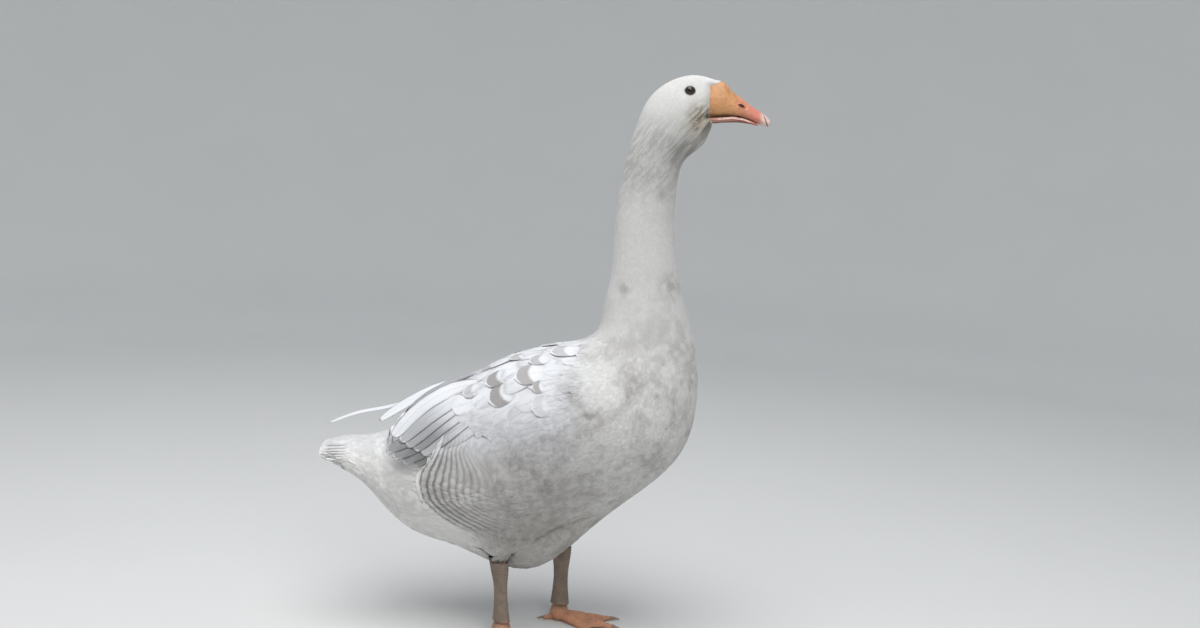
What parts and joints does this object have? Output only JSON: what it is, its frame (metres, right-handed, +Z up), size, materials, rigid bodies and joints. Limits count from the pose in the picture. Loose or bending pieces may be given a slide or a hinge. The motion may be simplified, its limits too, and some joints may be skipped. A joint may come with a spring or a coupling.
{
  "type": "life-size domestic goose model",
  "caption": "Still life-size domestic goose, white with grey-brown markings, standing with its neck up on webbed feet, folded wings and an orange bill.",
  "frame": {"origin": "on the floor, at the middle of the goose's box", "axes": "+X forward towards the bill, +Y to the goose's left, +Z up"},
  "size_m": [0.609, 0.242, 0.7972],
  "materials": {
    "white_plumage": "soft matt feathers, off-white",
    "grey_plumage": "soft matt feathers, white and taupe grey",
    "bill_skin": "satin skin, orange to pink",
    "bill_nail": "satin horn, pinkish white",
    "eye": "wet gloss, dark brown",
    "shank_skin": "fine scaly skin, pinkish taupe",
    "foot_skin": "scaly webbed skin, salmon orange",
    "claw": "dull horn"
  },
  "bodies": {
    "root": {"head": "white_plumage", "neck_upper": "white_plumage", "neck_lower": "white_plumage", "trunk": "grey_plumage", "tail": "white_plumage", "bill_upper": "bill_skin", "bill_nail": "bill_nail", "bill_lower": "bill_skin", "eye_right": "eye", "wing_right": "grey_plumage", "thigh_right": "white_plumage", "shank_right": "shank_skin", "foot_right": "foot_skin", "claw_right_inner": "claw", "claw_right_middle": "claw", "claw_right_outer": "claw", "claw_right_hind": "claw", "eye_left": "eye", "wing_left": "grey_plumage", "thigh_left": "white_plumage", "shank_left": "shank_skin", "foot_left": "foot_skin", "claw_left_inner": "claw", "claw_left_middle": "claw", "claw_left_outer": "claw", "claw_left_hind": "claw"}
  },
  "joints": []
}
